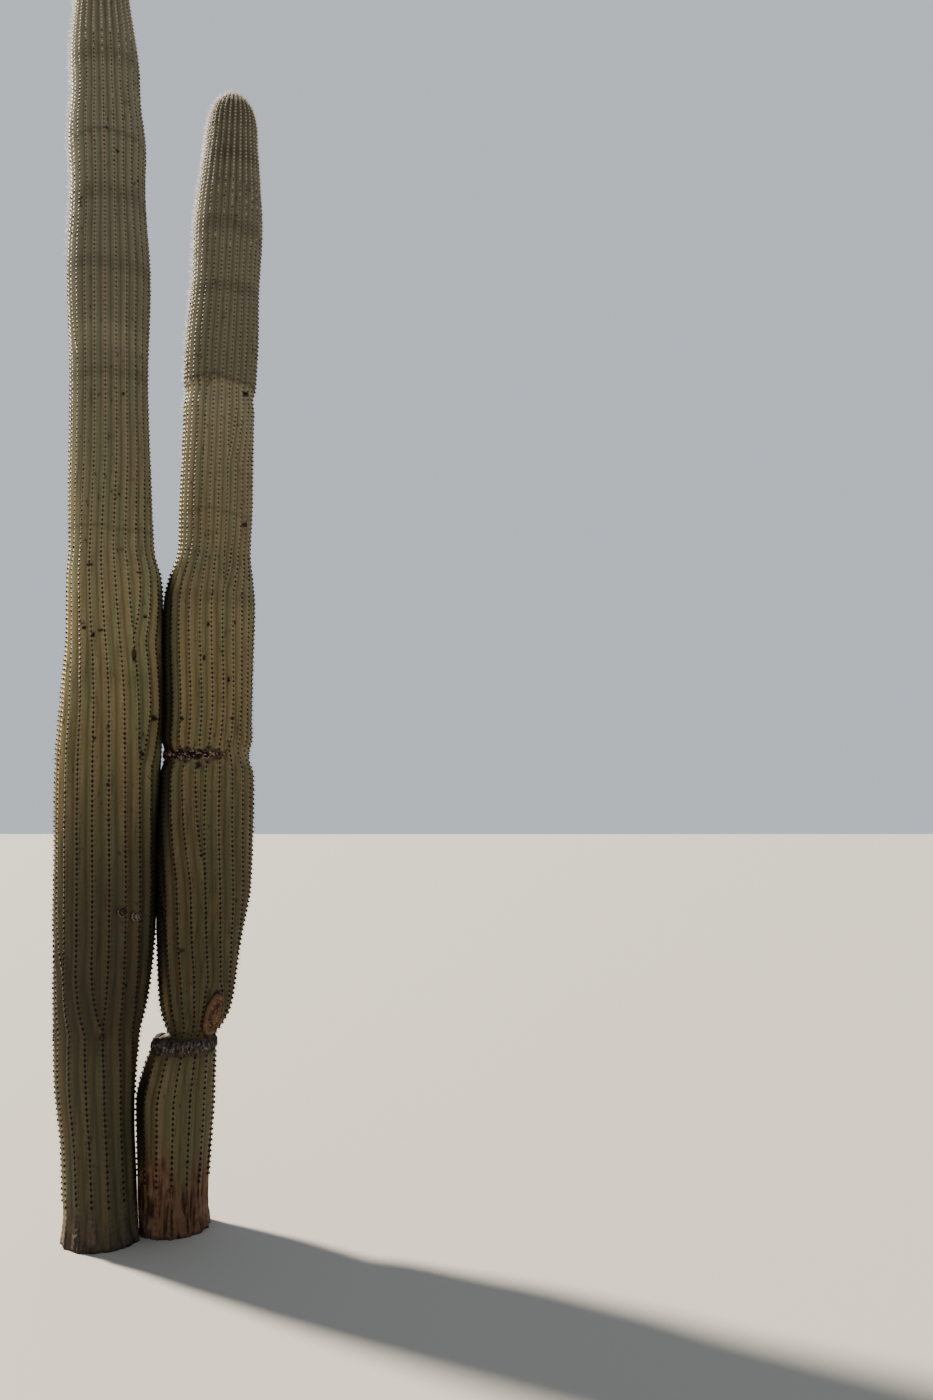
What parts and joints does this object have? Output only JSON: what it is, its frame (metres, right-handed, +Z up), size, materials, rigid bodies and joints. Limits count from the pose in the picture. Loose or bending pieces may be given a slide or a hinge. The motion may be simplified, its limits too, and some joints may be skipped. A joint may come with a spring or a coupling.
{
  "type": "saguaro cactus",
  "caption": "Tall columnar cactus clump: ribbed, spiny stems side by side on one root, with a pinched corky waist, healed scars and woolly growing tips.",
  "frame": {"origin": "centre of the main stem's flat foot, at ground level", "axes": "+Z up along the stems, +X from the main stem's foot towards the second stem's side, +Y away from the viewer of the best-known side"},
  "size_m": [0.824, 0.5253, 5.46],
  "materials": {
    "stem_skin": "waxy, matt, pleated and scarred",
    "spiny_wool": "matt felt with straw-coloured spines",
    "grey_cork": "rough, weathered cork",
    "dark_cork": "rough, dark, scabbed cork",
    "amber_cork": "rough, orange-brown cork"
  },
  "bodies": {
    "root": {"main_stem": "stem_skin", "second_stem": "stem_skin", "main_crown": "spiny_wool", "second_crown": "spiny_wool", "bark_collar": "grey_cork", "frost_ring": "dark_cork", "wound_callus": "amber_cork", "knob_callus_1": "grey_cork", "knob_callus_2": "grey_cork"}
  },
  "joints": []
}
